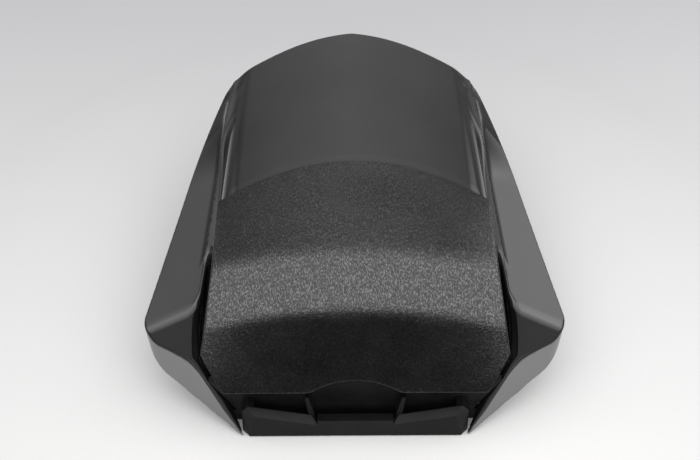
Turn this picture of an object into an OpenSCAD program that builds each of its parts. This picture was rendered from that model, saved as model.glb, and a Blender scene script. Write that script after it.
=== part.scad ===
// Rear seat cowl of a sport motorcycle: a gloss moulded shell with a padded panel over its front,
// closed from below by a pan that carries the latch loop, the hooks and the rubber buffers.
// X points to the right, Y from the padded front to the tail, Z up. Lengths are in millimetres.

/* [Cowl] */
// Overall length from the panel's lower lip to the tail tip
cowl_l = 305; // [290:1:320]
// Width of the wings where they end at the front corners
wing_w = 270; // [262:1:280]
// Height of the crown above the surface that the cowl stands on
cowl_h = 125; // [120:1:132]
// Moulded wall of the shell
wall = 3; // [2.2:0.1:3.6]

/* [Crown] */
// Distance from the front to the highest point of the crown
crown_back = 92.5; // [85:0.5:100]
// How far the crown falls from its highest point to the tail tip
tail_drop = 25; // [20:0.5:29]
// How far the crown falls from its highest point to the front shoulder
brow_drop = 2.3; // [1:0.1:4]
// Width of the hump between its upper edges
hump_w = 172; // [168:1:176]
// How far the hump's edges lie below its centre, beside the panel
arch_rise = 15; // [12:0.5:18]
// How far they lie below it at the tail's shoulders
tail_arch_rise = 19; // [16:0.5:21]
// Roundness of the hump's upper edges
hump_edge_soft = 12; // [6:0.5:16]
// Outward slope of the hump's sides, in degrees
hump_side_slope = 3; // [1:0.5:5]

/* [Wings] */
// Distance from the front to where the wings are widest
corner_back = 42; // [38:0.5:48]
// Height of the wing's outer edge at the front corner
corner_h = 50; // [46:0.5:54]
// Height of the same edge at the tail tip
tail_edge_h = 98; // [95:0.5:100]
// How much the wings narrow for each millimetre towards the tail
wing_taper = 0.1875; // [0.16:0.0025:0.2]
// Height where the wing meets the hump, at the front
root_h = 69.5; // [66:0.5:73]
// Rise of that line for each millimetre towards the tail
root_rise = 0.115; // [0.1:0.005:0.13]
// Extra rise where the wing runs out into the hump's flank
root_blend = 8; // [5:0.5:10]
// Distance of the wing's inner rim from the centre line, at the front
rim_x = 97; // [95:0.5:99]
// Height of the wing's inner rim above the groove beside the panel
groove_d = 17; // [12:0.5:20]
// Inward slope of the side walls, in degrees
side_draft = 12; // [8:0.5:14]

/* [Nose] */
// Height of the facet's upper inner corner
facet_h = 65; // [62:0.5:68]
// Distance of that corner from the front
facet_back = 50; // [46:0.5:54]
// Fall of the facet for each millimetre outwards
facet_fall = 0.2776; // [0.24:0.005:0.3]
// Fall of the facet for each millimetre forwards
facet_dip = 0.656; // [0.6:0.01:0.7]
// Half the distance between the two front tips
tip_x = 71.5; // [70:0.5:74]
// Angle between the front walls and the cross direction, in degrees
nose_turn = 29.5; // [27:0.5:32]
// Forward lean of the front walls for each millimetre downwards
nose_lean = 0.1086; // [0.08:0.01:0.13]
// Slope of the inner return behind the front wall's edge, in degrees from level
return_slope = 58; // [54:1:62]

/* [Tail] */
// Slope of the tail's pointed arch at its tip
arch_slope = 0.2; // [0.15:0.01:0.25]
// Curvature of that arch
arch_curve = 0.0035; // [0.003:0.0001:0.004]

/* [Lower edge] */
// Height of the shell's lower edge at the front corners
skirt_front_h = 35; // [30:0.5:38]
// Height of the lower edge at the tail
skirt_tail_h = 72; // [66:0.5:76]

/* [Panel] */
// Thickness of the padded panel
panel_t = 4; // [3:0.1:5]
// Distance from the front to the panel's rear edge, on the centre line
panel_back = 122; // [116:0.5:126]
// How far the rear edge curves forward at its ends
panel_bow = 24; // [20:0.5:28]
// Width of the panel along its rear edge
panel_w = 172; // [168:1:174]
// How far the panel grows wider for each millimetre that it drops
panel_flare = 0.13; // [0.1:0.01:0.16]
// Height of the panel's lower lip
panel_lip_h = 40; // [36:0.5:44]
// Width and height of the cut-off lower corners
panel_corner = [14.6, 23]; // [10:0.5:26]
// Radius and depth of the notch in the middle of the lower lip
notch_r = 43; // [36:1:50]
notch_d = 9; // [6:0.5:11]
// Distance from the front to the start of the rounded brow
brow_back = 50; // [46:0.5:54]
// Distance from the front to the brow's corner, before it is rounded
brow_corner_back = 18; // [15:0.5:21]
// How far the brow's corner lies further back at the panel's sides
brow_bow = 7.5; // [5:0.5:9]
// Gap between the panel and the shell
panel_gap = 0.5; // [0.3:0.1:0.8]

/* [Pan] */
// Wall of the pan
pan_wall = 2.5; // [2:0.1:3.5]
// Gap between the pan and the shell's inside
pan_gap = 0.6; // [0.4:0.1:1.2]
// Half width of the tub at its floor
tub_half_w = 60; // [54:1:64]
// Distance from the front to the tub's front wall
tub_front = 14; // [12:0.5:18]
// Distance from the tail tip to the tub's rear wall
tub_back = 74; // [66:1:84]
// Height of the tub's floor over the surface
floor_h = 9; // [8:0.5:12]
// Depth of the ribs below the floor
rib_d = 5; // [3:0.5:6]
// Spacing of those ribs
rib_pitch = 27; // [22:1:34]
// Height of the front lip in the middle
lip_mid_h = 14.7; // [12:0.1:17]
// Height of its front face beside the recess
lip_in_h = 10.5; // [8:0.1:12]
// Height of its front face at the outer ends
lip_end_h = 18.7; // [16:0.1:21]
// Half width of the lip at its foot
lip_half_w = 66; // [62:0.5:67]
// Rise of the bevel over the front face
bevel_h = 3.5; // [2:0.5:5]
// Depth of the bevel from front to back
bevel_back = 5.2; // [4:0.1:7]
// How far the bevelled blocks slant outwards over that depth
bevel_slant = 4.4; // [2:0.1:5]
// Half width of the recess in the middle of the lip
recess_half_w = 23; // [19:0.5:26]

/* [Latch] */
// Diameter of the latch loop's rod
loop_rod = 8; // [6:0.5:9]
// Distance between the loop's legs, centre to centre
loop_span = 34; // [28:1:40]
// Reach of the loop below its plate
loop_drop = 26; // [22:1:28]
// Thickness of the latch plate
plate_t = 3; // [2:0.5:4]
// Length of the latch plate
plate_l = 72; // [66:1:80]
// Width of the latch plate
plate_w = 34; // [30:1:40]
// Diameter of the latch bolts
bolt_d = 6; // [5:0.5:6.5]

/* [Fixings] */
// Diameter of the panel's studs
stud_d = 5; // [4:0.5:6]
// Diameter of the pan's screws
screw_d = 4; // [3:0.5:5]
// Diameter of the rubber buffers
buffer_d = 20; // [16:1:24]

/* [Hidden] */

front = -cowl_l / 2;
tail = cowl_l / 2;
crown_y = front + crown_back;
facet_y = front + facet_back;
panel_side_back = panel_back - panel_bow;
below = -40;
clear = 0.3;

function smooth(t) = let (c = min(max(t, 0), 1)) c * c * (3 - 2 * c);
function soft_min(a, b, k) = (a + b - sqrt((a - b) * (a - b) + k * k)) / 2;
function mix(a, b, t) = a + (b - a) * t;
// Step along one axis for each millimetre of true thickness, from a wall's slope to that axis
function spread(slope) = sqrt(1 + slope * slope);

// Crown: height on the centre line, drop towards the sides and the whole top surface
function crown_z(y) = y > crown_y
    ? cowl_h - tail_drop * pow((y - crown_y) / (tail - crown_y), 1.6)
    : cowl_h - brow_drop * pow((crown_y - y) / (crown_back - brow_back), 2);
function rear_share(y) = min(max((y - front - panel_side_back) / (cowl_l - panel_side_back - 43), 0), 1);
function sag(y) = mix(arch_rise, tail_arch_rise, rear_share(y));
function top_z(x, y) = crown_z(y) - sag(y) * pow(2 * x / hump_w, 2);

// Outline from above: straight sides, the pointed arch of the tail and the turned-in front walls
function side_x(y, d) = wing_w / 2 - wing_taper * (y - front - corner_back)
    - 0.00066 * pow(max(y - 10, 0), 2) - d * spread(wing_taper);
function arch_x(y, d) =
    let (root = sqrt(arch_slope * arch_slope + 4 * arch_curve * max(tail - y, 0.001)))
    (root - arch_slope) / (2 * arch_curve) - d * spread(1 / root);
function nose_x(y, z, d) = tip_x + (y - front - 1 - nose_lean * z) / tan(nose_turn) - d / sin(nose_turn);
function flank_x(y, d) = soft_min(side_x(y, d), arch_x(y, d), 6);
function edge_x(y, z, d) =
    soft_min(flank_x(y, d) * (1 - (edge_z(y) - z) * tan(side_draft) * 2 / wing_w), nose_x(y, z, d), 8);

// Wing's outer edge, its root on the hump, its top, the facet at its front and the inner return
function edge_z(y) =
    let (t = (y - front - corner_back) / (cowl_l - corner_back))
    mix(corner_h, tail_edge_h, t) - 10 * t * (1 - t);
function root_z(y) = soft_min(root_h + root_rise * (y - facet_y) + root_blend * smooth((y - 5) / 55),
    top_z(hump_w / 2, y) - 2, 2);
function wing_z(x, y, d) =
    let (slope = max(root_z(y) - edge_z(y), 3) / max(side_x(y, 0) - hump_w / 2, 10))
    soft_min(edge_z(y) + slope * (flank_x(y, 0) - x), top_z(x, y) - 1 - 2 * rear_turn(y), 1) - 1.1 * d;
function facet_z(x, y, d) =
    facet_h - facet_fall * (x - rim_x) + facet_dip * (y - facet_y) - d * spread(facet_dip);
// Ridge of the nose, where the return meets the front wall, and the height of the outer edge along it
function ridge_x(y) = let (r = tan(return_slope), t = tan(nose_turn))
    tip_x + (y - front - 1 - 2.5 * nose_lean * r) / (t + nose_lean * r);
function outer_z(y) = y > facet_y ? edge_z(y)
    : soft_min(soft_min(edge_z(y), facet_z(edge_x(y, corner_h - 3, 0), y, 0), 1.5), return_z(ridge_x(y), 0), 1.5);
function return_z(x, d) = (x - tip_x + 2.5) * tan(return_slope) - d / cos(return_slope);

// A closed solid through a row of rings with equally many points
module loft(rings, strip = true) {
    n = len(rings[0]);
    m = len(rings);
    far = (m - 1) * n;
    sides = [for (i = [0:m - 2], j = [0:n - 1]) let (a = i * n + j, b = i * n + (j + 1) % n)
        each [[a, b, a + n], [b, b + n, a + n]]];
    ends = strip
        ? [for (j = [0:n / 2 - 2]) let (k = n - 1 - j) each [[j, k, j + 1], [k, k - 1, j + 1]]]
        : [[for (j = [n - 1:-1:0]) j]];
    polyhedron([for (r = rings) each r],
        concat(sides, ends, [for (f = ends) [for (i = [len(f) - 1:-1:0]) far + f[i]]]), convexity = 8);
}

// Places of the sections, close together at the tail, where d is the depth below the outer skin
arch_steps = [2.5, 7, 14, 24, 36, 48, 60, 70, 79];
function rows(d) = let (middle = d > 0 ? 9 : 12) concat(
    [for (x = arch_steps) if (x > 4 * d) tail - arch_slope * x - arch_curve * x * x],
    [for (i = [0:middle]) mix(tail - 48, facet_y + 3, i / middle)],
    [for (i = [0:9]) mix(facet_y, front - (d > 0 ? 6 : 0), i / 9)]);
function rear_turn(y) = smooth((y - tail + 62) / 26);

// Hump: crown, soft edge and steep side, from the centre line outwards
function hump_half(y, d) =
    let (far = flank_x(y, 0) - 0.8,
        under = y < front + panel_side_back ? 3 : 0,
        w = max(soft_min(hump_w / 2 - under, far, 3) - d * (far < hump_w / 2 ? 1.8 : 1), 0.4),
        s = min(hump_edge_soft, w * 0.4),
        inner = [w - s, top_z(w - s, y) - d],
        corner = [w, top_z(w, y) - d],
        outer = [w, top_z(w, y) - d - s])
    concat(
        [for (i = [0:5]) let (x = (w - s) * (i + 0.25) / 6) [x, top_z(x, y) - d]],
        [for (i = [0:4]) let (t = i / 4)
            (1 - t) * (1 - t) * inner + 2 * t * (1 - t) * corner + t * t * outer],
        [[max(w + (outer[1] - below) * tan(mix(hump_side_slope, -14, rear_turn(y))), w * 0.4), below]]);
module hump(d) {
    loft([for (y = rows(d)) let (h = hump_half(y, d)) concat(
        [for (i = [len(h) - 1:-1:0]) [-h[i][0], y, h[i][1]]], [for (p = h) [p[0], y, p[1]]])]);
}

// Right wing: groove beside the panel, inner rim, top with its facet, outer edge and side wall
function groove(y) = groove_d * smooth((front + panel_side_back - y) / 40) + 9 * smooth((facet_y - y) / 20);
function wing_ring(y, d) =
    let (is_nose = y < facet_y - 26,
        far = edge_x(y, outer_z(y), d) - 1.2,
        x2 = is_nose ? min(mix(tip_x, ridge_x(y), 0.6), far - 2) : min(rim_x - 0.06 * (y - facet_y) + d, far - 2),
        x1 = is_nose ? x2 - 6 : min(hump_w / 2 - 14, x2 - 2),
        zg = wing_z(min(rim_x, far), y, 0) - groove(y) - d,
        z_low = function(x) soft_min(soft_min(wing_z(x, y, d), facet_z(x, y, d), 1.5),
            is_nose ? return_z(x, d) : 900, 4),
        lip = z_low(far))
    [for (p = concat(
        is_nose ? [[x1 - 26, below], [x1, return_z(x1, d)]] : [[x1, below], [x1, zg], [x2 - 1.2, zg]],
        is_nose ? [[(x1 + x2) / 2, return_z((x1 + x2) / 2, d)]] : [],
        [for (i = [0:5]) let (x = mix(x2, far, i / 5)) [x, z_low(x)]],
        [for (z = concat([lip - 1.5], [for (k = [36, 26, 16, 6]) min(k, lip - 3 - 0.1 * (36 - k))], [below]))
            [edge_x(y, z, d), z]])) [p[0], y, p[1]]];
module wing(d) {
    loft([for (y = rows(d)) wing_ring(y, d)], strip = false);
}
module both_sides() {
    children();
    mirror([1, 0, 0]) children();
}

// Side view of the shell's lower edge, as a block that takes away everything below it
module below_skirt(lift) {
    rotate([90, 0, 90])
        linear_extrude(2 * wing_w, center = true)
            polygon(concat([[front - 20, 2 * below], [front - 20, lift]],
                [for (y = [front + 1, front + corner_back, tail + 5]) [y, skirt_z(y) + lift]],
                [[tail + 5, 2 * below]]));
}

// Panel surface: q runs across from -1 to 1, u along from the rear edge over the brow to the lip
brow_y = front + brow_back;
corner_q = 1 - 2 * panel_corner[0] / panel_w;
function panel_edge_h(q, grow) =
    let (x = abs(q) * panel_w / 2 * 1.1)
    panel_lip_h - grow + (grow > 0 ? 0 : panel_corner[1] * max(0, (abs(q) - corner_q) / (1 - corner_q))
        + max(0, sqrt(max(notch_r * notch_r - x * x, 0)) - notch_r + notch_d));
recess_side = 7.4;
function panel_mid(q, u, grow) =
    let (rear = front + panel_back - panel_bow * q * q + (grow > 0 ? panel_gap + grow - recess_side : 0),
        x0 = q * hump_w / 2,
        slope = 2 * brow_drop / (crown_back - brow_back),
        cy = front + brow_corner_back + brow_bow * q * q,
        cz = top_z(x0, brow_y) - slope * (brow_y - cy),
        lip = [front, panel_lip_h],
        down = (lip - [cy, cz]) / norm(lip - [cy, cz]),
        p2 = [cy, cz] + down * 30,
        edge_h = panel_edge_h(q, grow),
        p3 = [mix(cy, front, (cz - edge_h) / (cz - panel_lip_h)), edge_h],
        y_top = mix(rear, brow_y, u),
        t = u - 1)
    u <= 1 ? [y_top, top_z(x0, y_top)]
    : u <= 2 ? (1 - t) * (1 - t) * [brow_y, top_z(x0, brow_y)] + 2 * t * (1 - t) * [cy, cz] + t * t * p2
    : mix(p2, p3, u - 2);
function panel_point(q, u, depth, grow) =
    let (qx = q * (1 + 2 * grow / panel_w),
        p = panel_mid(qx, u, grow),
        a = panel_mid(qx, max(u - 0.02, 0), grow),
        b = panel_mid(qx, min(u + 0.02, 3), grow),
        along = (b - a) / norm(b - a),
        half = panel_w / 2 + panel_flare * max(0, top_z(hump_w / 2 * q, brow_y) - p[1]) + grow,
        x = q * half,
        tilt = 2 * sag(brow_y) * qx / (hump_w / 2) * (u < 1 ? 1 : max(0, 2 - u)),
        n = [tilt, along[1], -along[0]] / norm([tilt, along[1], -along[0]]))
    [x, p[0], p[1]] - depth * n;
function panel_across(fine) = fine
    ? [-1, -0.91, -0.82, -0.7, -0.56, -0.42, -0.34, for (i = [-6:6]) i * 0.047,
        0.34, 0.42, 0.56, 0.7, 0.82, 0.91, 1]
    : [-1, -0.91, -0.82, for (i = [-3:3]) i * 0.22, 0.82, 0.91, 1];
function panel_along(fine) = fine
    ? [0, 0.25, 0.5, 0.75, 1, for (i = [1:8]) 1 + i / 8, 2.25, 2.5, 2.75, 3]
    : [0, 0.5, 1, for (i = [1:5]) 1 + i / 5, 2.5, 3];
module panel_slab(shallow, deep, grow, fine) {
    us = panel_along(fine);
    loft([for (q = panel_across(fine)) concat(
        [for (u = us) panel_point(q, u, deep, grow)],
        [for (i = [len(us) - 1:-1:0]) panel_point(q, us[i], shallow, grow)])]);
}

// Opening under the panel's lip, between the two noses: a little smaller in the inner form
module front_opening(d) {
    less = d > 0 ? 1.5 : 0;
    z = panel_lip_h + 3 - less;
    translate([0, front + 28 - less, 0])
        rotate([90, 0, 0])
            linear_extrude(60)
                polygon([[-200, 2 * below], [200, 2 * below], [200, z + 43], [93, z + 25], [78, z],
                    [-78, z], [-93, z + 25], [-200, z + 43]]);
}

// The cowl's form at a depth below its skin, with the seat of the panel sunk into the hump
module cowl_form(d) {
    difference() {
        hump(d);
        panel_slab(-60, panel_t + panel_gap + d, recess_side + d, false);
        front_opening(d);
    }
    both_sides() wing(d);
}

// Places on the panel, with the Z axis along the outward normal
module at_panel(q, u, depth) {
    p = panel_point(q, u, 0, 0);
    n = p - panel_point(q, u, 1, 0);
    translate(p - depth * n) rotate([0, acos(n[2]), atan2(n[1], n[0])]) children();
}
stud_places = [[-0.55, 0.45], [0.55, 0.45], [-0.55, 1], [0.55, 1], [-0.5, 2.5], [0.5, 2.5]];
seat_depth = panel_t + panel_gap;

// Places of the screws that hold the pan, and the height of the joint there
screw_places = [[102, facet_y + 20], [92, -4], [66, tail - 66]];
screw_pad = 6;
function joint_z(y) = skirt_z(y) + screw_pad;
function skirt_z(y) = y < front + corner_back
    ? mix(0, skirt_front_h, (y - front - 1) / (corner_back - 1))
    : mix(skirt_front_h, skirt_tail_h, (y - front - corner_back) / (cowl_l - corner_back));

// Ribs under the crown, along and across
module shell_ribs() {
    intersection() {
        difference() {
            cowl_form(wall / 2);
            cowl_form(wall + 7);
        }
        union() {
            for (x = [-36, 36]) translate([x - 1, front + panel_back + 12, 60]) cube([2, 130, 70]);
            for (i = [0:3]) translate([-70, front + panel_back + 14 + 33 * i, 60]) cube([140, 2, 70]);
        }
    }
}
module shell_bosses() {
    intersection() {
        cowl_form(wall / 2);
        both_sides() for (p = screw_places)
            hull() {
                translate([p[0], p[1], joint_z(p[1])]) cylinder(d = screw_d + 5, h = 1, $fn = 24);
                translate([p[0], p[1], 120]) cylinder(d = screw_d + 7, h = 1, $fn = 24);
            }
    }
}
// Gussets that close the front ends of the grooves, below the facets
module nose_gussets() {
    both_sides() intersection() {
        cowl_form(wall / 2);
        hull() for (x = [hump_w / 2 - 7, rim_x + 2], y = [facet_y - 16, facet_y - 34], z = [38, 60])
            translate([x, y, z]) cube(2, center = true);
    }
}

module cowl_shell() {
    color([0.02, 0.02, 0.022])
        difference() {
            union() {
                difference() {
                    cowl_form(0);
                    cowl_form(wall);
                }
                shell_ribs();
                shell_bosses();
                nose_gussets();
            }
            below_skirt(0);
            both_sides() translate([hump_w / 2 - 26, front + 20, 0]) cube([13, 7.5, 30]);
            for (s = stud_places) at_panel(s[0], s[1], 20) cylinder(d = stud_d + 1, h = 30, $fn = 20);
            both_sides() for (p = screw_places)
                translate([p[0], p[1], joint_z(p[1]) - 1]) cylinder(d = screw_d + clear, h = 9, $fn = 20);
        }
}

module backrest_panel() {
    color([0.09, 0.09, 0.09]) {
        panel_slab(0, panel_t, 0, true);
        for (s = stud_places)
            at_panel(s[0], s[1], seat_depth + wall + 5) cylinder(d = stud_d, h = panel_gap + wall + 6.5, $fn = 40);
    }
}
module panel_nuts() {
    color("silver")
        for (s = stud_places)
            at_panel(s[0], s[1], seat_depth + wall + 2.4)
                difference() {
                    union() {
                        cylinder(d = 2.4 * stud_d, h = 1.2, $fn = 40);
                        translate([0, 0, -1.6]) cylinder(d = 1.7 * stud_d, h = 2, $fn = 40);
                    }
                    translate([0, 0, -3]) cylinder(d = stud_d + clear, h = 6, $fn = 40);
                }
}

// Pan: a flange that closes the cowl from below and a tub that stands on the buffers
pan_front = front + 30;
function pan_rows() = [for (i = [0:20]) mix(pan_front, tail - 6, i / 20)];
module pan_outline() {
    right = [for (y = pan_rows()) [edge_x(y, skirt_z(y) + 3, wall + pan_gap + 1), y]];
    polygon(concat(right, [for (i = [len(right) - 1:-1:0]) [-right[i][0], right[i][1]]]));
}
module side_profile(points) {
    rotate([90, 0, 90]) linear_extrude(2 * wing_w, center = true) polygon(points);
}
module pan_flange() {
    intersection() {
        translate([0, 0, -10]) linear_extrude(150) pan_outline();
        side_profile([for (y = [pan_front, front + corner_back, tail]) [y, skirt_z(y) + 1],
            for (y = [tail, front + corner_back, pan_front]) [y, skirt_z(y) + 1 + pan_wall]]);
    }
}
lip_inset = 0.4;
lip_z = 0.7;
tub_y0 = front + tub_front;
tub_y1 = tail - tub_back;
tub_r = 14;
module tub_plan(inset) {
    w = tub_half_w - inset;
    r = tub_r - inset;
    y0 = tub_y0 + inset;
    y1 = tub_y1 - inset;
    translate([-w, y0 + r]) square([2 * w, y1 - y0 - 2 * r]);
    translate([-w + r, y0]) square([2 * (w - r), y1 - y0]);
    for (x = [-w + r, w - r], y = [y0 + r, y1 - r]) translate([x, y]) circle(r, $fn = 64);
}
module tub_solid(inset, z0) {
    intersection() {
        translate([0, 0, z0]) linear_extrude(100) tub_plan(inset);
        side_profile([[front, 0], [tail, 0], [tail, skirt_z(tail) + 1 + pan_wall],
            [front + corner_back, skirt_z(front + corner_back) + 1 + pan_wall],
            [front, skirt_z(front + corner_back) + 1 + pan_wall]]);
    }
}
latch_y = -36;
pocket = [plate_l + 10, plate_w + 16];
plate_top = floor_h + loop_drop + plate_t;
bolt_x = plate_l / 2 - 7.5;
module floor_ribs() {
    for (x = [-1, 0, 1]) translate([x * 40 - 1, tub_y0 + 16, floor_h - rib_d]) cube([2, tub_y1 - tub_y0 - 32, rib_d + 1]);
    for (i = [0:6]) translate([-tub_half_w + 8, tub_y0 + 22 + rib_pitch * i, floor_h - rib_d])
        cube([2 * tub_half_w - 16, 2, rib_d + 1]);
}
buffer_x = 46;
buffer_front_y = tub_y0 + 20;
buffer_rear_y = tub_y1 - 20;
buffer_places = [[-buffer_x, buffer_front_y], [buffer_x, buffer_front_y],
    [-buffer_x, buffer_rear_y], [buffer_x, buffer_rear_y]];
module hook() {
    translate([-14, tub_y1 - 1, 34]) cube([28, 22, 4]);
    translate([-14, tub_y1 + 17, 30]) cube([28, 4, 6]);
    for (x = [-14, 11.5]) translate([x, tub_y1 - 1, 26])
        rotate([90, 0, 90]) linear_extrude(2.5) polygon([[0, 0], [18, 9], [0, 9]]);
}
// Lip across the front: a band with a bevelled block on each side of the recess, pockets behind it
// parted by two ribs, and a wall at their back that reaches under the noses
module dots(points) {
    hull() for (p = points) translate(p) cube(0.2, center = true);
}
module lip_block() {
    y0 = front + lip_inset;
    y1 = y0 + bevel_back;
    y2 = front + tub_front + 1;
    inner = recess_half_w + bevel_slant;
    outer = lip_half_w + bevel_slant;
    dots(concat([[recess_half_w, y0, lip_z], [recess_half_w, y0, lip_in_h], [lip_half_w, y0, lip_z],
            [lip_half_w - 4, y0, lip_end_h]],
        [for (y = [y1, y2]) each [[inner, y, lip_z], [inner, y, lip_in_h + bevel_h], [outer, y, lip_z],
            [outer, y, lip_end_h - 1], [outer - 4, y, lip_end_h + bevel_h]]]));
}
module lip_rib() {
    y1 = front + lip_inset + bevel_back;
    y2 = front + tub_front + 1;
    hull() {
        translate([recess_half_w + 2.3, y1, lip_z]) cube([2, y2 - y1, lip_mid_h - 2]);
        translate([recess_half_w + 5.9, y1, 29]) cube([2, y2 - y1, 1]);
    }
}
module lip_wall() {
    function nose_x(z) = tip_x - 3.7 + z / tan(return_slope);
    foot = [[tip_x + 6.5, lip_z], [tip_x + 6.5, 9.5], [nose_x(9.5), 9.5], [nose_x(36), 36],
        [tip_x - 10, 36], [tip_x - 10, panel_lip_h + 5.6]];
    translate([0, front + tub_front + pan_wall + 2, 0])
        rotate([90, 0, 0])
            linear_extrude(pan_wall + 2)
                polygon(concat(foot, [for (i = [len(foot) - 1:-1:0]) [-foot[i][0], foot[i][1]]]));
}
module front_lip() {
    y0 = front + lip_inset;
    y1 = y0 + bevel_back;
    difference() {
        union() {
            translate([-recess_half_w - 0.5, y0 - 0.1, lip_z])
                cube([2 * recess_half_w + 1, front + tub_front + 1 - y0, lip_mid_h - lip_z]);
            both_sides() lip_block();
        }
        translate([-lip_half_w + 3, y1 + 0.6, 4]) cube([2 * lip_half_w - 6, tub_front, 40]);
    }
    both_sides() lip_rib();
    lip_wall();
}
module base_pan() {
    color([0.05, 0.05, 0.05])
        difference() {
            union() {
                difference() {
                    union() {
                        pan_flange();
                        tub_solid(0, floor_h);
                    }
                    tub_solid(pan_wall, floor_h + pan_wall);
                    translate([-tub_half_w + 14, tub_y0 + 14, 30]) cube([2 * tub_half_w - 28, tub_y1 - tub_y0 - 28, 80]);
                }
                front_lip();
                floor_ribs();
                translate([-pocket[0] / 2 - pan_wall, latch_y - pocket[1] / 2 - pan_wall, floor_h])
                    cube([pocket[0] + 2 * pan_wall, pocket[1] + 2 * pan_wall, plate_top + pan_wall - floor_h]);
                for (x = [-34, 34]) translate([x, 0, 0]) hook();
                both_sides() for (p = screw_places)
                    translate([p[0], p[1], skirt_z(p[1]) - 3]) cylinder(d = screw_d + 8, h = screw_pad + 3 - clear, $fn = 40);
            }
            translate([-pocket[0] / 2, latch_y - pocket[1] / 2, -1]) cube([pocket[0], pocket[1], plate_top + 1]);
            for (x = [-1, 1]) translate([x * bolt_x, latch_y, 0]) cylinder(d = bolt_d + 0.4, h = 80, $fn = 40);
            for (p = buffer_places) translate([p[0], p[1], -1]) cylinder(d = 8, h = 30, $fn = 40);
            for (p = buffer_places) translate([p[0], p[1], -1]) cylinder(d = buffer_d + 1, h = floor_h + 1, $fn = 40);
            both_sides() for (p = screw_places)
                translate([p[0], p[1], 0]) cylinder(d = screw_d + 0.5, h = 120, $fn = 40);
        }
}
module pan_screws() {
    color("silver") both_sides() for (p = screw_places)
        translate([p[0], p[1], skirt_z(p[1]) - 3]) {
            translate([0, 0, -2.6]) cylinder(d = 2 * screw_d + 1, h = 2.6, $fn = 40);
            cylinder(d = screw_d, h = screw_pad + 3 + 6, $fn = 40);
        }
}

// Latch: a plate under the pocket's roof, the loop below it and two bolts through both
module latch_plate() {
    color("gray") translate([0, latch_y, plate_top - plate_t - 0.05])
        difference() {
            translate([-plate_l / 2, -plate_w / 2, 0]) cube([plate_l, plate_w, plate_t]);
            for (x = [-1, 1]) translate([x * bolt_x, 0, -1]) cylinder(d = bolt_d + 0.4, h = plate_t + 2, $fn = 40);
        }
}
module latch_loop() {
    r = loop_span / 2;
    leg = loop_drop - r - loop_rod / 2;
    color("silver") translate([0, latch_y, plate_top - plate_t - 0.05 - leg]) {
        for (x = [-r, r]) translate([x, 0, 0]) cylinder(d = loop_rod, h = leg, $fn = 48);
        rotate([-90, 0, 0]) rotate_extrude(angle = 180, $fn = 64) translate([r, 0]) circle(d = loop_rod, $fn = 48);
    }
}
module at_bolts(z) {
    for (x = [-1, 1]) translate([x * bolt_x, latch_y, z]) children();
}
module latch_bolts() {
    color("silver") at_bolts(plate_top - plate_t - 0.1) {
        translate([0, 0, -4]) cylinder(d = 11.5, h = 4, $fn = 6);
        cylinder(d = bolt_d, h = plate_t + pan_wall + 9, $fn = 40);
    }
}
module latch_washers() {
    color("silver") at_bolts(plate_top + pan_wall)
        difference() {
            cylinder(d = 13, h = 1.4, $fn = 48);
            translate([0, 0, -1]) cylinder(d = bolt_d + 0.3, h = 4, $fn = 48);
        }
}
module latch_nuts() {
    color("silver") at_bolts(plate_top + pan_wall + 1.45)
        difference() {
            cylinder(d = 11.5, h = 5, $fn = 6);
            translate([0, 0, -1]) cylinder(d = bolt_d + 0.1, h = 8, $fn = 48);
        }
}

// Rubber buffer: a disc under the floor, a neck through it and a snap head above
module buffer(i) {
    color([0.03, 0.03, 0.03]) translate([buffer_places[i][0], buffer_places[i][1], 0])
        rotate_extrude($fn = 64)
            polygon([[0, 0], [buffer_d / 2 - 2, 0], [buffer_d / 2, 2], [buffer_d / 2, floor_h - 0.1], [3.8, floor_h - 0.1],
                [3.8, floor_h + pan_wall + 0.1], [5.2, floor_h + pan_wall + 0.1], [3, floor_h + pan_wall + 5],
                [0, floor_h + pan_wall + 5]]);
}

cowl_shell();
backrest_panel();
panel_nuts();
base_pan();
pan_screws();
latch_plate();
latch_loop();
latch_bolts();
latch_washers();
latch_nuts();
buffer(0);  // buffer_front_left
buffer(1);  // buffer_front_right
buffer(2);  // buffer_rear_left
buffer(3);  // buffer_rear_right
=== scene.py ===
import bpy
import math
import numpy as np
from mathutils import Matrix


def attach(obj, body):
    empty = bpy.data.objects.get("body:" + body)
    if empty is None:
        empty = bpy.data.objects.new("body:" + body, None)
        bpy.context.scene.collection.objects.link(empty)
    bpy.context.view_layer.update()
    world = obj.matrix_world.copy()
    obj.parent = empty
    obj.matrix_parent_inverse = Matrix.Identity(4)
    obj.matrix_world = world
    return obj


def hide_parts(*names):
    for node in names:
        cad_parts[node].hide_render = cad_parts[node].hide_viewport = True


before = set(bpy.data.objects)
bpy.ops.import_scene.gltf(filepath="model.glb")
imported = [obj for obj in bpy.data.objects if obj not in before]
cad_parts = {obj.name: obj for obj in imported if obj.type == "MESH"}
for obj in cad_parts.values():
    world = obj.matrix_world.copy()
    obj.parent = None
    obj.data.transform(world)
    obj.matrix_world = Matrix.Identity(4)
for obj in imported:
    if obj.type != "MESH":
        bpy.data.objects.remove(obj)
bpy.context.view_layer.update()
MM = 0.001

# Sizes of the part in millimetres and degrees. Most are those of its source. WING_W, COWL_H and EDGE_SOFT
# differ a little from it, and RIM_X, PANEL_FLARE and PANEL_CORNER differ to come closer to the photo.
# Overall size and the shell's wall
COWL_L, WING_W, COWL_H, WALL = 305.0, 269.6, 124.9, 3.0
FRONT, TAIL = -COWL_L / 2, COWL_L / 2
# Crown: its highest line, its fall to the tail and to the brow, and its arch from side to side
CROWN_Y, TAIL_DROP, TAIL_POWER, BROW_DROP = FRONT + 92.5, 25.0, 1.6, 2.3
HUMP_W, ARCH_RISE, TAIL_ARCH_RISE, ARCH_END, CROWN_STEEP = 172.0, 15.0, 19.0, 43.0, 0.0044
EDGE_SOFT, HUMP_SLOPE, TAIL_INSET = 13.0, 3.0, 0.8
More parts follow.
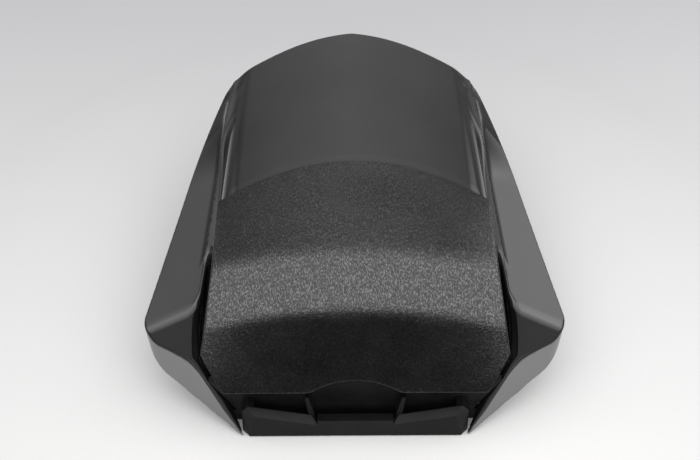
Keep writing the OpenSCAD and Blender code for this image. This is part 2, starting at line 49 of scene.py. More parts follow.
# The hump's sides stand further in where the panel covers it
SIDE_IN, SIDE_IN_FROM, SIDE_IN_L = 3.0, 2.0, 6.0
# Wings: their outer edge, in height and in plan, and their root beside the hump
CORNER_BACK, CORNER_H, TAIL_EDGE_H, EDGE_SAG = 42.0, 50.0, 98.0, 10.0
WING_TAPER, WING_CURVE, WING_CURVE_Y = 0.1875, 0.00066, 10.0
ROOT_H, ROOT_RISE, ROOT_BLEND, ROOT_BLEND_Y, ROOT_BLEND_L = 69.5, 0.115, 8.0, 5.0, 55.0
RISE_LEAST, WIDTH_LEAST, ROOT_UNDER, WING_UNDER = 3.0, 10.0, 2.0, 1.0
# Where the wings turn into the tail, and the draft of their sides
TURN_BACK, TURN_L, FLANK_SOFT, SIDE_DRAFT = 62.0, 26.0, 6.0, 12.0
# Rim and groove beside the panel
RIM_X, RIM_TAPER, GROOVE_D, GROOVE_L = 96.0, 0.06, 17.0, 40.0
MOUTH_D, MOUTH_L, MOUTH_AHEAD = 9.0, 20.0, 26.0
# Facets, noses and the noses' inner walls
FACET_H, FACET_Y, FACET_FALL, FACET_DIP = 65.0, FRONT + 50, 0.2776, 0.656
TIP_X, TIP_W, NOSE_TURN, NOSE_LEAN, RETURN_SLOPE = 71.5, 2.5, 29.5, 0.1086, 58.0
# The tail's outline in plan, and the skirt's lower edge
ARCH_SLOPE, ARCH_CURVE, TAIL_TRIM = 0.2, 0.0035, 0.55
SKIRT_FRONT_H, SKIRT_TAIL_H = 35.0, 72.0
# Panel and the brow that it wraps
PANEL_T, PANEL_BACK, PANEL_BOW, PANEL_W, PANEL_FLARE = 4.0, 122.0, 24.0, 172.0, 0.165
PANEL_LIP_H, LIP_FLARE, PANEL_CORNER, NOTCH_R, NOTCH_D = 40.0, 1.1, (15.6, 24.5), 43.0, 9.0
BROW_BACK, BROW_CORNER_BACK, BROW_BOW, BROW_SOFT, PANEL_GAP = 50.0, 18.0, 7.5, 30.0, 0.5
BROW_Y, SIDE_BACK = FRONT + BROW_BACK, PANEL_BACK - PANEL_BOW
BROW_SLOPE = 2 * BROW_DROP / (CROWN_Y - BROW_Y)
# The seat under the panel: its rear edge, the skin's dip behind it, the front opening below the brow
SEAT_IN, SEAT_SOFT, SEAT_R, FACE_GAP, DIP_D, DIP_L = 2.5, 26.0, 0.7, 0.4, 0.4, 7.0
OPENING_BACK, OPENING_RISE, OPENING_X, OPENING_SLOPE = 28.0, 3.0, 78.0, 1.65
# Radii of the shell's edges, and where the rim, the outer edge and the hump's fillet change theirs
TAIL_R, SIDE_CORNER_R, NOSE_CORNER_R, FACET_R, GROOVE_R, RETURN_R = 2.0, 10.0, 13.0, 2.5, 2.0, 3.0
RIM_R, RIM_EXTRA, RIM_FROM_Y, RIM_L = 2.5, 5.0, -88.0, 16.0
EDGE_R, EDGE_EXTRA, EDGE_AHEAD, EDGE_L, EDGE_UP, EDGE_RISE = 1.3, 2.4, 22.0, 8.0, 4.0, 14.0
FILLET_LEAST, FILLET_EXTRA, FILLET_BACK, FILLET_L = 0.05, 2.0, 4.0, 30.0

# Grid of the shell's mesh, the triangles that it keeps, and the steps for slopes and normals
GRID_LOW, GRID_HIGH = (-138, -156, -4), (138, 157, 129)
GRID_STEP, SHELL_TRIANGLES = 1.25, 190000
SLOPE_STEP, NORMAL_STEP, SLOPE_LEAST, LAST_REACH, TINY = 0.05, 0.12, 0.2, 0.3, 1e-9

# Grid of the panel's mesh: its nominal length, the spans of u, and the radius of its rim
PANEL_RUN, PANEL_SPANS, PANEL_R = 200, 3, 1.4
PANEL_ACROSS, PANEL_ALONG, PANEL_SHARP = 86, 96, 50


# Small maths on arrays
def smooth(t):
    c = np.clip(t, 0, 1)
    return c * c * (3 - 2 * c)


def mix(a, b, t):
    return a + (b - a) * t


def bend(a, b, c, t):
    """A curve from a to c that leaves a towards b."""
    return (1 - t) ** 2 * a + 2 * t * (1 - t) * b + t * t * c


def tan(degrees):
    return math.tan(math.radians(degrees))


def soft_min(a, b, k):
    return (a + b - np.sqrt((a - b) ** 2 + k * k)) / 2


def both(a, b, r):
    """Space inside both a and b, with the edge between them rounded to radius r."""
    return np.minimum(np.maximum(a, b), -r) + np.hypot(np.maximum(a + r, 0), np.maximum(b + r, 0))


def either(a, b, r):
    """Space inside a or b, with the corner between them filled over about r above 0."""
    near = np.maximum(2.4 * r - np.abs(a - b), 0) / (2.4 * r)
    return np.minimum(a, b) - near * near * 0.6 * r


# The cowl's curves
def crown_z(y):
    rear = COWL_H - TAIL_DROP * np.clip((y - CROWN_Y) / (TAIL - CROWN_Y), 0, 2) ** TAIL_POWER
    brow = COWL_H - BROW_DROP * ((CROWN_Y - y) / (CROWN_Y - BROW_Y)) ** 2
    return np.where(y > CROWN_Y, rear, brow)


def sag(y):
    share = np.clip((y - FRONT - SIDE_BACK) / (COWL_L - SIDE_BACK - ARCH_END), 0, 1)
    return mix(ARCH_RISE, TAIL_ARCH_RISE, share)


def top_z(x, y):
    return crown_z(y) - sag(y) * (2 * x / HUMP_W) ** 2


def side_x(y):
    curve = WING_CURVE * np.maximum(y - WING_CURVE_Y, 0) ** 2
    return WING_W / 2 - WING_TAPER * (y - FRONT - CORNER_BACK) - curve


def arch_x(y):
    root = np.sqrt(ARCH_SLOPE ** 2 + 4 * ARCH_CURVE * np.maximum(TAIL - y, 0.001))
    return (root - ARCH_SLOPE) / (2 * ARCH_CURVE)


def flank_x(y):
    return soft_min(side_x(y), arch_x(y), FLANK_SOFT)


def edge_z(y):
    t = (y - FRONT - CORNER_BACK) / (COWL_L - CORNER_BACK)
    return mix(CORNER_H, TAIL_EDGE_H, t) - EDGE_SAG * t * (1 - t)


def root_z(y):
    rise = ROOT_H + ROOT_RISE * (y - FACET_Y) + ROOT_BLEND * smooth((y - ROOT_BLEND_Y) / ROOT_BLEND_L)
    return soft_min(rise, top_z(HUMP_W / 2, y) - ROOT_UNDER, 2)


def wing_slope(y):
    return np.maximum(root_z(y) - edge_z(y), RISE_LEAST) / np.maximum(side_x(y) - HUMP_W / 2, WIDTH_LEAST)


def wing_z(x, y):
    turn = smooth((y - TAIL + TURN_BACK) / TURN_L)
    return soft_min(edge_z(y) + wing_slope(y) * (flank_x(y) - x), top_z(x, y) - WING_UNDER - turn, 1)


def skirt_z(y):
    return np.where(y < FRONT + CORNER_BACK,
                    SKIRT_FRONT_H * (y - FRONT - 1) / (CORNER_BACK - 1),
                    mix(SKIRT_FRONT_H, SKIRT_TAIL_H, (y - FRONT - CORNER_BACK) / (COWL_L - CORNER_BACK)))


# The panel's curves; q runs across the hump from -1 to 1
def panel_rear_y(q):
    return FRONT + PANEL_BACK - PANEL_BOW * q * q


def brow_corner(q, brow_z):
    """Where the brow's two slopes would meet if it weren't rounded, in y and z."""
    y = FRONT + BROW_CORNER_BACK + BROW_BOW * q * q
    return y, brow_z - BROW_SLOPE * (BROW_Y - y)


# The cowl's bodies as distances: negative inside, positive outside
def arch_wall(x, y):
    return (y - (TAIL - ARCH_SLOPE * x - ARCH_CURVE * x * x)) / np.hypot(1, ARCH_SLOPE + 2 * ARCH_CURVE * x)


def panel_seat(x, y, z, top):
    """The crown and the brow, sunk below the panel's back."""
    corner_y, corner_z = brow_corner(x / (HUMP_W / 2), top_z(x, BROW_Y))
    run = np.hypot(corner_y - FRONT, corner_z - PANEL_LIP_H)
    face = ((z - PANEL_LIP_H) * (corner_y - FRONT) - (y - FRONT) * (corner_z - PANEL_LIP_H)) / run
    return both(top + PANEL_T + PANEL_GAP, face + PANEL_T + PANEL_GAP + FACE_GAP, SEAT_SOFT)


def hump_body(x, y, z):
    rear = panel_rear_y(x / (HUMP_W / 2))
    # The skin dips a little under the panel's rear edge, so that the edge stands clear of it
    top = (z - top_z(x, y)) / np.hypot(1, CROWN_STEEP * x) + DIP_D * smooth((rear + DIP_L - y) / DIP_L)
    under = SIDE_IN * smooth((FRONT + SIDE_BACK + SIDE_IN_FROM - y) / SIDE_IN_L)
    wide = HUMP_W / 2 - under + (top_z(HUMP_W / 2, y) - EDGE_SOFT - z) * tan(HUMP_SLOPE)
    body = both(both(top, x - wide, EDGE_SOFT), arch_wall(x, y) + TAIL_INSET, TAIL_R)
    body = both(body, np.minimum(rear - SEAT_IN - y, panel_seat(x, y, z, top)), SEAT_R)
    opening_z = PANEL_LIP_H + OPENING_RISE + np.maximum(x - OPENING_X, 0) * OPENING_SLOPE
    return np.maximum(body, np.minimum(FRONT + OPENING_BACK - y, opening_z - z))


def wing_sides(x, y, z):
    """The drafted outer wall, and the nose's wall that slants in from the front corner."""
    narrow = 1 - (edge_z(y) - z) * tan(SIDE_DRAFT) * 2 / WING_W
    wide = x / narrow
    flank = both((wide - side_x(y)) / math.hypot(1, WING_TAPER), arch_wall(wide, y), SIDE_CORNER_R)
    wall_x = TIP_X + (y - FRONT - 1 - NOSE_LEAN * z) / tan(NOSE_TURN)
    return both(flank, (x - wall_x) * math.sin(math.radians(NOSE_TURN)), NOSE_CORNER_R)


def wing_top(x, y, z):
    """The wing's upper face, cut off by the facet in front."""
    top = (z - wing_z(x, y)) / np.hypot(1, wing_slope(y))
    facet_z = FACET_H - FACET_FALL * (x - RIM_X) + FACET_DIP * (y - FACET_Y)
    return both(top, (z - facet_z) / math.hypot(1, math.hypot(FACET_FALL, FACET_DIP)), FACET_R)


def wing_body(x, y, z):
    rim_x = RIM_X - RIM_TAPER * (y - FACET_Y)
    back = (z - (x - TIP_X + TIP_W) * tan(RETURN_SLOPE)) * math.cos(math.radians(RETURN_SLOPE))
    inner = either(rim_x - x, back, RETURN_R)
    # The rim is rounder towards the facet
    wing = both(wing_top(x, y, z), inner, RIM_R + RIM_EXTRA * smooth((RIM_FROM_Y - y) / RIM_L))
    # The groove's floor joins the wing to the hump, and falls towards its mouth at the front
    groove = GROOVE_D * smooth((FRONT + SIDE_BACK - y) / GROOVE_L)
    groove = groove + MOUTH_D * smooth((FACET_Y - y) / MOUTH_L)
    floor_z = wing_z(np.minimum(rim_x, flank_x(y) - 1), y) - groove
    floor = np.maximum(z - floor_z, FACET_Y - MOUTH_AHEAD - y)
    wing = either(wing, np.maximum(floor, x - rim_x - 1), GROOVE_R)
    # The outer edge is softer above the nose's tip, beside the facet
    ahead, up = smooth((FACET_Y - EDGE_AHEAD - y) / EDGE_L), smooth((z - EDGE_UP) / EDGE_RISE)
    return both(wing, wing_sides(x, y, z), EDGE_R + EDGE_EXTRA * ahead * up)


def cowl(p):
    """Distance to the hollow shell for points p in millimetres."""
    x, y, z = np.abs(p[..., 0]), p[..., 1], p[..., 2]
    fillet = FILLET_LEAST + FILLET_EXTRA * smooth((TAIL - FILLET_BACK - y) / FILLET_L)
    body = either(hump_body(x, y, z), wing_body(x, y, z), fillet)
    body = both(body, y - TAIL + TAIL_TRIM, 1)
    shell = np.maximum(body, -(body + WALL))
    return both(shell, skirt_z(y) - z, EDGE_R)


# A mesh around the zero level of a distance
CORNERS = [(i, j, k) for i in (0, 1) for j in (0, 1) for k in (0, 1)]
EDGES = [(a, b) for a in CORNERS for b in CORNERS
         if sum(b) == sum(a) + 1 and all(b[i] >= a[i] for i in range(3))]


def cut(field, corner):
    size = [n - 1 for n in field.shape]
    return field[tuple(slice(c, c + n) for c, n in zip(corner, size))]


def surface_points(field):
    """One point in each cell that the surface crosses, in grid units, and the cells' numbers."""
    count = sum(cut(field < 0, c).astype(np.int8) for c in CORNERS)
    cells = np.argwhere((count > 0) & (count < len(CORNERS)))
    number = np.full([n - 1 for n in field.shape], -1)
    number[tuple(cells.T)] = np.arange(len(cells))
    total, hits = np.zeros((len(cells), 3)), np.zeros(len(cells))
    for a, b in EDGES:
        fa, fb = (field[tuple((cells + c).T)] for c in (a, b))
        crossed = (fa < 0) != (fb < 0)
        t = np.where(crossed, fa / np.where(fa == fb, 1, fa - fb), 0)
        total += crossed[:, None] * (np.array(a) + t[:, None] * (np.array(b) - np.array(a)))
        hits += crossed
    return cells + total / hits[:, None], number


def surface_quads(field, number):
    """A quad around each grid edge that the surface crosses."""
    quads = []
    for axis in range(3):
        u, v = (axis + 1) % 3, (axis + 2) % 3
        low = np.moveaxis(field, (axis, u, v), (0, 1, 2))
        cell = np.moveaxis(number, (axis, u, v), (0, 1, 2))
        at = np.argwhere((low[:-1, 1:-1, 1:-1] < 0) != (low[1:, 1:-1, 1:-1] < 0))
        i, j, k = at.T
        leaves = low[i, j + 1, k + 1] < 0
        ring = np.stack([cell[i, j, k], cell[i, j + 1, k], cell[i, j + 1, k + 1], cell[i, j, k + 1]], 1)
        quads.append(np.where(leaves[:, None], ring, ring[:, ::-1]))
    return np.concatenate(quads)


def gradient(distance, p, h):
    return np.stack([(distance(p + h * e) - distance(p - h * e)) / (2 * h) for e in np.eye(3)], -1)


def onto(distance, points, reach):
    """Moves points onto the zero level, by reach at most in each of four steps."""
    for _ in range(4):
        slope = gradient(distance, points, SLOPE_STEP)
        steep = np.maximum((slope ** 2).sum(1), SLOPE_LEAST)[:, None]
        move = -distance(points)[:, None] * slope / steep
        size = np.linalg.norm(move, axis=1)[:, None]
        points = points + move * np.minimum(1, reach / np.maximum(size, TINY))
    return points


def surface(distance, low, high, step):
    """Points and quads of the zero level of a distance inside a box."""
    axes = [np.arange(a, b + step, step) for a, b in zip(low, high)]
    field = np.stack([distance(np.stack(np.meshgrid([x], axes[1], axes[2], indexing="ij"), -1))[0]
                      for x in axes[0]])
    points, number = surface_points(field)
    return onto(distance, np.array(low) + points * step, 0.5 * step), surface_quads(field, number)


def mesh_object(name, points, faces):
    """A smooth-shaded object from points in millimetres."""
    mesh = bpy.data.meshes.new(name)
    mesh.from_pydata((np.asarray(points) * MM).tolist(), [], np.asarray(faces).tolist())
    mesh.polygons.foreach_set("use_smooth", [True] * len(mesh.polygons))
    mesh.update()
    obj = bpy.data.objects.new(name, mesh)
    bpy.context.scene.collection.objects.link(obj)
    return obj


def thin_out(obj, triangles):
    """Gives the object a mesh with fewer triangles, most of them where it bends."""
    thin = obj.modifiers.new("thin", "DECIMATE")
    thin.ratio = triangles / sum(len(p.vertices) - 2 for p in obj.data.polygons)
    ready = obj.evaluated_get(bpy.context.evaluated_depsgraph_get())
    mesh = bpy.data.meshes.new_from_object(ready)
    obj.modifiers.clear()
    obj.data = mesh


def make_shell():
    """The cowl's skin, with its points and normals taken from the distance itself."""
    points, quads = surface(cowl, GRID_LOW, GRID_HIGH, GRID_STEP)
    obj = mesh_object("cowl_skin", points, quads)
    thin_out(obj, SHELL_TRIANGLES)
    mesh = obj.data
    points = np.empty(3 * len(mesh.vertices))
    mesh.vertices.foreach_get("co", points)
    points = onto(cowl, points.reshape(-1, 3) / MM, LAST_REACH)
    mesh.vertices.foreach_set("co", (points * MM).ravel())
    normals = gradient(cowl, points, NORMAL_STEP)
    normals /= np.maximum(np.linalg.norm(normals, axis=1), TINY)[:, None]
    mesh.update()
    mesh.normals_split_custom_set_from_vertices(normals.tolist())
    return obj


# The panel's surface: u runs from 0 at the rear edge to the brow at 1, round it to 2, and to the lip at 3
def panel_edge_h(q):
    """Height of the lip's lower edge, with the cut corners and the notch."""
    x = np.abs(q) * PANEL_W / 2 * LIP_FLARE
    corner_q = 1 - 2 * PANEL_CORNER[0] / PANEL_W
    corner = PANEL_CORNER[1] * np.maximum(0, (np.abs(q) - corner_q) / (1 - corner_q))
    notch = np.sqrt(np.maximum(NOTCH_R ** 2 - x * x, 0)) - NOTCH_R + NOTCH_D
    return PANEL_LIP_H + corner + np.maximum(notch, 0)


def panel_front(q, u):
    """Points of the panel's front face."""
    x0 = q * HUMP_W / 2
    brow_z = top_z(x0, BROW_Y)
    cy, cz = brow_corner(q, brow_z)
    run = np.hypot(FRONT - cy, PANEL_LIP_H - cz)
    y2, z2 = cy + (FRONT - cy) / run * BROW_SOFT, cz + (PANEL_LIP_H - cz) / run * BROW_SOFT
    z3 = panel_edge_h(q)
    y3 = mix(cy, FRONT, (cz - z3) / (cz - PANEL_LIP_H))
    t, y_top = u - 1, mix(panel_rear_y(q), BROW_Y, u)
    y_low = np.where(u <= 2, bend(BROW_Y, cy, y2, t), mix(y2, y3, u - 2))
    z_low = np.where(u <= 2, bend(brow_z, cz, z2, t), mix(z2, z3, u - 2))
    y, z = np.where(u <= 1, y_top, y_low), np.where(u <= 1, top_z(x0, y_top), z_low)
    half = PANEL_W / 2 + PANEL_FLARE * np.maximum(0, brow_z - z)
    return np.stack([q * half, y, z], -1)


def panel_normal(q, u):
    h = 0.01
    to_q = panel_front(np.minimum(q + h, 1), u) - panel_front(np.maximum(q - h, -1), u)
    to_u = panel_front(q, np.minimum(u + h, PANEL_SPANS)) - panel_front(q, np.maximum(u - h, 0))
    normal = np.cross(to_u, to_q)
    return normal / np.linalg.norm(normal, axis=-1)[..., None]


def steps_from_edge(length, count):
    """Distances from 0 to length, close together near both ends where the edge is rounded."""
    end = PANEL_R * (1 - np.cos(np.linspace(0, math.pi / 2, 6)))[1:-1]
    middle = np.linspace(PANEL_R, length - PANEL_R, count)
    return np.concatenate([[0], end, middle, length - end[::-1], [length]])


def rim_depth(across, along):
    """How far the front face lies back at each point, which rounds the panel's rim."""
    side = PANEL_R - np.minimum(np.minimum(across, PANEL_W - across), PANEL_R)[:, None]
    length = np.minimum(along, PANEL_SPANS - along) / PANEL_SPANS * PANEL_RUN
    end = PANEL_R - np.minimum(length, PANEL_R)[None, :]
    return PANEL_R - np.sqrt(np.maximum(PANEL_R * PANEL_R - side ** 2 - end ** 2, 0))


def slab_faces(n, m):
    """Faces of two n by m grids, one behind the other, and of the wall around them."""
    index = np.arange(n * m).reshape(n, m)
    grid = np.stack([index[:-1, :-1], index[:-1, 1:], index[1:, 1:], index[1:, :-1]], -1).reshape(-1, 4)
    rim = np.concatenate([index[0, :], index[1:, -1], index[-1, -2::-1], index[-2:0:-1, 0]])
    after = np.roll(rim, -1)
    wall = np.stack([rim, rim + n * m, after + n * m, after], 1)
    return np.concatenate([grid, grid[:, ::-1] + n * m, wall])


def make_panel():
    across = steps_from_edge(PANEL_W, PANEL_ACROSS)
    along = steps_from_edge(PANEL_RUN, PANEL_ALONG) / PANEL_RUN * PANEL_SPANS
    q, u = np.meshgrid(across / PANEL_W * 2 - 1, along, indexing="ij")
    front, normal = panel_front(q, u), panel_normal(q, u)
    skin = front - normal * rim_depth(across, along)[..., None]
    inner = front - normal * PANEL_T
    points = np.concatenate([skin.reshape(-1, 3), inner.reshape(-1, 3)])
    obj = mesh_object("panel_skin", points, slab_faces(*q.shape))
    obj.data.set_sharp_from_angle(angle=math.radians(PANEL_SHARP))
    return obj


# Node trees and finishes
class Nodes:
    """Short calls that build a node tree."""

    def __init__(self, tree):
        self.tree = tree

    def node(self, kind, **values):
        made = self.tree.nodes.new(kind)
        for name, value in values.items():
            made.inputs[name].default_value = value
        return made

    def link(self, out, into):
        self.tree.links.new(out, into)

    def feed(self, socket, value):
        """Gives a socket a number, a colour or a node's output."""
        if isinstance(value, bpy.types.NodeSocket):
            self.link(value, socket)
        else:
            socket.default_value = (*value, 1) if isinstance(value, tuple) else value

    def split(self, vector):
        parts = self.node("ShaderNodeSeparateXYZ")
        self.link(vector, parts.inputs[0])
        return list(parts.outputs)

    def calculate(self, operation, a, b):
        m = self.node("ShaderNodeMath")
        m.operation = operation
        self.feed(m.inputs[0], a)
        self.feed(m.inputs[1], b)
        return m.outputs[0]

    def times(self, a, b):
        return self.calculate("MULTIPLY", a, b)

    def ramp(self, value, low, high, start=0.3, end=0.7):
        """From low where the value is at start or beyond, to high where it is at end."""
        r = self.node("ShaderNodeMapRange")
        for name, level in (("From Min", start), ("From Max", end), ("To Min", low), ("To Max", high)):
            r.inputs[name].default_value = level
        self.link(value, r.inputs["Value"])
        return r.outputs["Result"]

    def curve(self, value, points):
        """Straight lines between points of value and level; the ramp holds shares of the highest."""
        low, high = points[0][0], points[-1][0]
        most = max(level for _, level in points)
        ramp = self.node("ShaderNodeValToRGB")
        stops = ramp.color_ramp.elements
        for at, _ in points[1:-1]:
            stops.new((at - low) / (high - low))
        for stop, (at, level) in zip(stops, points):
            stop.position = (at - low) / (high - low)
            stop.color = (level / most, level / most, level / most, 1)
        share = self.calculate("DIVIDE", self.calculate("SUBTRACT", value, low), high - low)
        self.link(share, ramp.inputs["Fac"])
        return self.times(ramp.outputs["Color"], most)

    def mixed(self, value, first, second, blend="MIX"):
        """A colour between two, each a tuple or a node's output."""
        m = self.node("ShaderNodeMix")
        m.data_type, m.blend_type = "RGBA", blend
        # Of this node's sockets, input 0 is the share, 6 and 7 are the colours and output 2 the result
        for socket, fed in ((m.inputs[0], value), (m.inputs[6], first), (m.inputs[7], second)):
            self.feed(socket, fed)
        return m.outputs[2]

    def tinted(self, colour, share):
        return self.mixed(1.0, colour, (share, share, share), "MULTIPLY")


class Finish(Nodes):
    """One procedural material; its patterns are placed by the object's own coordinates."""

    def __init__(self, name):
        self.material = bpy.data.materials.new(name)
        self.material.use_nodes = True
        super().__init__(self.material.node_tree)
        self.shader = self.tree.nodes["Principled BSDF"]
        self.place = self.node("ShaderNodeTexCoord").outputs["Object"]

    def set(self, name, value):
        self.feed(self.shader.inputs[name], value)

    def noise(self, scale, detail, stretch=None):
        n = self.node("ShaderNodeTexNoise", Scale=scale, Detail=detail, Roughness=0.5)
        place = self.place
        if stretch:
            longer = self.node("ShaderNodeMapping", Scale=stretch)
            self.link(place, longer.inputs["Vector"])
            place = longer.outputs["Vector"]
        self.link(place, n.inputs["Vector"])
        return n.outputs["Fac"]

    def cells(self, scale, smoothness):
        n = self.node("ShaderNodeTexVoronoi", Scale=scale)
        n.feature = "SMOOTH_F1"
        n.inputs["Smoothness"].default_value = smoothness
        self.link(self.place, n.inputs["Vector"])
        return n.outputs["Distance"]

    def colour(self, scale, detail, dark, light):
        """The base colour, in patches between dark and light."""
        self.set("Base Color", self.mixed(self.ramp(self.noise(scale, detail), 0, 1), dark, light))

    def rough(self, scale, detail, low, high):
        """The roughness, in patches between low and high."""
        self.set("Roughness", self.ramp(self.noise(scale, detail), low, high))

    def bump(self, height, strength, distance, under=None):
        """Relief from a pattern, over the relief under it if one is given."""
        b = self.node("ShaderNodeBump", Strength=strength, Distance=distance)
        self.link(height, b.inputs["Height"])
        if under is not None:
            self.link(under, b.inputs["Normal"])
        self.set("Normal", b.outputs["Normal"])
        return b.outputs["Normal"]


# Reflection of plain plastic, of the facets and of the noses' walls
PLASTIC_IOR, PLASTIC_SPECULAR, FACET_SPECULAR, NOSE_IOR = 1.5, 0.5, 0.08, 2.7
# Metres from the middle between which the noses begin
NOSE_FROM, NOSE_TO = 0.06, 0.07


def facets_and_noses(f):
    """Masks that are 1 on the facets and on the noses' walls, from where the surface faces."""
    _, back, up = f.split(f.node("ShaderNodeNewGeometry").outputs["Normal"])
    x = f.split(f.place)[0]
    facet = f.times(f.ramp(back, 1, 0, start=-0.5, end=-0.3), f.ramp(up, 0, 1, start=0.3, end=0.5))
    forward = f.ramp(back, 1, 0, start=-0.75, end=-0.25)
    aside = f.ramp(f.times(x, x), 0, 1, start=NOSE_FROM ** 2, end=NOSE_TO ** 2)
    return facet, f.times(f.times(forward, aside), f.ramp(up, 1, 0, start=0.15, end=0.4))


def gloss_black():
    f = Finish("gloss_black")
    f.colour(scale=30, detail=3, dark=(0.0020, 0.0020, 0.0022), light=(0.0036, 0.0036, 0.0039))
    f.rough(scale=55, detail=5, low=0.05, high=0.09)
    f.bump(f.noise(scale=420, detail=1), strength=0.03, distance=0.0001)
    # The facets are duller than the rest, and the noses' walls reflect more
    facet, nose = facets_and_noses(f)
    f.set("Specular IOR Level", f.ramp(facet, PLASTIC_SPECULAR, FACET_SPECULAR, start=0, end=1))
    f.set("IOR", f.ramp(nose, PLASTIC_IOR, NOSE_IOR, start=0, end=1))
    return f.material


def grained_black():
    f = Finish("grained_black")
    f.set("IOR", PLASTIC_IOR)
    f.colour(scale=40, detail=4, dark=(0.0012, 0.0012, 0.0012), light=(0.0026, 0.0026, 0.0025))
    f.rough(scale=90, detail=4, low=0.18, high=0.24)
    fine = f.bump(f.noise(scale=2200, detail=3), strength=0.25, distance=0.0001)
    f.bump(f.cells(scale=950, smoothness=0.35), strength=0.22, distance=0.0002, under=fine)
    # Grain that runs up the panel: its pits give back less light
    grain = f.noise(scale=1500, detail=2, stretch=(1, 0.45, 0.45))
    f.set("Specular IOR Level", f.ramp(grain, low=0.26, high=0.74, start=0.47, end=0.66))
    return f.material


def satin_black():
    f = Finish("satin_black")
    f.set("Specular IOR Level", 0.12)
    f.colour(scale=45, detail=4, dark=(0.0015, 0.0015, 0.0016), light=(0.003, 0.003, 0.0031))
    f.rough(scale=120, detail=4, low=0.38, high=0.52)
    f.bump(f.noise(scale=1500, detail=2), strength=0.2, distance=0.0002)
    return f.material


def zinc_steel():
    f = Finish("zinc_steel")
    f.set("Metallic", 1.0)
    f.colour(scale=160, detail=4, dark=(0.46, 0.46, 0.45), light=(0.62, 0.62, 0.6))
    f.rough(scale=300, detail=5, low=0.28, high=0.46)
    f.bump(f.noise(scale=900, detail=3), strength=0.15, distance=0.0002)
    return f.material


def buffer_rubber():
    f = Finish("buffer_rubber")
    f.colour(scale=120, detail=4, dark=(0.010, 0.010, 0.010), light=(0.022, 0.022, 0.021))
    f.rough(scale=200, detail=4, low=0.65, high=0.85)
    f.bump(f.noise(scale=1200, detail=3), strength=0.3, distance=0.0003)
    return f.material


# Floor: colours of the paper with painted light, lighter at the front than at the rear, and of the painted
# shade that only reflections see far off and in front
FLOOR_FRONT_PAINTED_LIGHT, FLOOR_REAR_PAINTED_SHADE = (0.29, 0.29, 0.288), (0.19, 0.19, 0.195)
FLOOR_FAR_PAINTED_SHADE, FLOOR_BEFORE_PAINTED_SHADE = (0.05, 0.05, 0.05), (0.005, 0.005, 0.005)
FLOOR_SIZE, FLOOR_Z = 6, -0.0003


def paper(f, x, y, around):
    """Pale paper with painted light: a little lighter towards the front and the right, and lighter close
    around the part as painted light against its shadow.
    """
    # Painted light: lighter towards the front and the right, where the light falls stronger
    shade = f.mixed(f.ramp(y, 0, 1, start=-0.17, end=0.35), FLOOR_FRONT_PAINTED_LIGHT, FLOOR_REAR_PAINTED_SHADE)
    right = f.ramp(x, 0, 1, start=-0.3, end=0.3)
    shade = f.mixed(right, f.tinted(shade, 0.97), f.tinted(shade, 1.03))
    # Painted light: the paper is lighter close around the part, against the shadow that the part casts on
    # it
    near = f.ramp(around, 1, 0, start=0.15, end=0.3)
    shade = f.mixed(near, shade, f.tinted(shade, 1.14))
    return f.mixed(f.ramp(f.noise(scale=300, detail=4), 0, 1), shade, f.tinted(shade, 0.985))


def floor_painted_light_and_shade():
    """Paper whose colour, in reflections only, turns to painted shade far off and in front of the part, so
    that the lit floor ends close to the part as dark surroundings would make it.
    """
    f = Finish("floor_painted_light_and_shade")
    x, y, _ = f.split(f.place)
    length = f.node("ShaderNodeVectorMath")
    length.operation = "LENGTH"
    f.link(f.place, length.inputs[0])
    around = length.outputs["Value"]
    mirrored = f.node("ShaderNodeLightPath").outputs["Is Glossy Ray"]
    # Painted shade that only reflections see: the floor in front of the part and far from it turns dark
    middle = f.times(f.ramp(x, 0, 1, start=-0.24, end=-0.16), f.ramp(x, 1, 0, start=0.16, end=0.24))
    before = f.times(f.ramp(y, 1, 0, start=-0.24, end=-0.18), middle)
    far_shade_mask = f.ramp(around, 0, 1, start=0.22, end=0.45)
    far_shaded_floor = f.mixed(f.times(far_shade_mask, mirrored), paper(f, x, y, around), FLOOR_FAR_PAINTED_SHADE)
    f.set("Base Color", f.mixed(f.times(before, mirrored), far_shaded_floor, FLOOR_BEFORE_PAINTED_SHADE))
    f.rough(scale=8, detail=3, low=0.6, high=0.7)
    f.set("Specular IOR Level", 0.1)
    return f.material


def dress(obj, material):
    obj.data.materials.clear()
    obj.data.materials.append(material)


# Pieces
BEVEL_WIDTH, BEVEL_ANGLE = 0.7 * MM, 35


def pan_with_edges():
    """The pan with its sharp edges broken by a small bevel."""
    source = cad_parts["base_pan"]
    obj = bpy.data.objects.new("pan_skin", source.data.copy())
    bpy.context.scene.collection.objects.link(obj)
    bevel = obj.modifiers.new("edges", "BEVEL")
    bevel.width = BEVEL_WIDTH
    bevel.segments = 2
    bevel.angle_limit = math.radians(BEVEL_ANGLE)
    bevel.harden_normals = True
    return obj


def build_pieces():
    """Three skins replace the nodes that show, and the frame's other nodes get their finish."""
    shell, panel, pan = make_shell(), make_panel(), pan_with_edges()
    skins = ((shell, "cowl_shell", "gloss_shell", gloss_black()),
             (panel, "backrest_panel", "grained_panel", grained_black()),
             (pan, "base_pan", "pan_plastic", satin_black()))
    for obj, node, slot, finish in skins:
        dress(obj, finish)
        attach(obj, "root")
        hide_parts(node)
    replaced = [node for _, node, _, _ in skins]
    steel, rubber = zinc_steel(), buffer_rubber()
    for name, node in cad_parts.items():
        if name not in replaced:
            dress(node, rubber if name.startswith("buffer") else steel)


# Light by angle from the zenith, in degrees with the front positive
SKY = ((-180, 0.02), (-104, 0.1), (-94, 0.3), (-84, 0.46), (-72, 0.66), (-60, 1.0), (-48, 1.35),
       (-36, 1.65), (-26, 2.1), (-18, 2.8), (-11, 4.2), (0, 4.4), (82, 4.4), (89, 4.3), (92.5, 0.1),
       (180, 0.02))
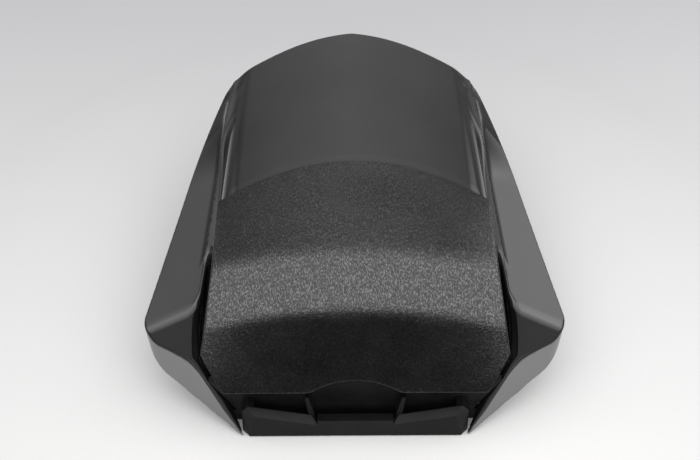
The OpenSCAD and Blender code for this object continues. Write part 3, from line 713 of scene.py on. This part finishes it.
# Factors on it by the sideways part of the direction, for the rear half and for the front half
REAR_SIDES = ((-1, 0.25), (-0.8, 0.3), (-0.62, 1.05), (-0.5, 0.45), (-0.25, 0.8), (0, 1), (0.25, 0.85),
              (0.45, 0.6), (0.55, 1.6), (0.66, 2.4), (0.76, 0.8), (1, 0.35))
FRONT_SIDES = ((-1, 0.4), (-0.8, 0.75), (-0.6, 0.95), (0, 1), (0.7, 1), (1, 0.7))
# Share of the front half by angle, and the level that the camera itself sees behind the scene
FRONT_SHARE = ((-180, 0), (-30, 0), (-5, 1), (180, 1))
BACKDROP = 0.75


def sky_level(n):
    """Strength of the light in each direction."""
    side, back, up = n.split(n.node("ShaderNodeTexCoord").outputs["Generated"])
    turn = n.calculate("ARCTAN2", n.times(back, -1), up)
    angle = n.times(turn, 180 / math.pi)
    front = n.curve(angle, FRONT_SHARE)
    rear_part = n.times(n.curve(side, REAR_SIDES), n.calculate("SUBTRACT", 1, front))
    front_part = n.times(n.curve(side, FRONT_SIDES), front)
    return n.times(n.curve(angle, SKY), n.calculate("ADD", rear_part, front_part))


def build_sky():
    """Soft studio light: strong from above and in front, falling towards the back."""
    world = bpy.data.worlds.new("studio")
    world.use_nodes = True
    n = Nodes(world.node_tree)
    seen = n.node("ShaderNodeLightPath").outputs["Is Camera Ray"]
    unseen = n.calculate("SUBTRACT", 1, seen)
    level = n.calculate("ADD", n.times(sky_level(n), unseen), n.times(seen, BACKDROP))
    background = n.tree.nodes["Background"]
    n.feed(background.inputs["Color"], (1, 1, 1))
    n.feed(background.inputs["Strength"], level)
    bpy.context.scene.world = world


def build_stage():
    bpy.ops.mesh.primitive_plane_add(size=FLOOR_SIZE, location=(0, 0, FLOOR_Z))
    floor = bpy.context.object
    floor.name = "floor"
    dress(floor, floor_painted_light_and_shade())
    build_sky()


# Camera: place in metres, degrees down and to the side, and the focal length in pixels of the photo
CAMERA_PLACE, CAMERA_DOWN, CAMERA_ASIDE = (-0.0075, -0.6915, 0.650), 41.53, -0.44
FOCAL_PX, PHOTO_W_PX, SENSOR_MM = 1334, 700, 36


def build_camera():
    data = bpy.data.cameras.new("camera")
    data.sensor_width, data.lens = SENSOR_MM, SENSOR_MM * FOCAL_PX / PHOTO_W_PX
    data.clip_start, data.clip_end = 0.05, 50
    camera = bpy.data.objects.new("camera", data)
    camera.location = CAMERA_PLACE
    camera.rotation_euler = (math.radians(90 - CAMERA_DOWN), 0, math.radians(CAMERA_ASIDE))
    bpy.context.scene.collection.objects.link(camera)
    bpy.context.scene.camera = camera
    bpy.context.scene.view_settings.view_transform = "Standard"


build_pieces()
build_stage()
build_camera()
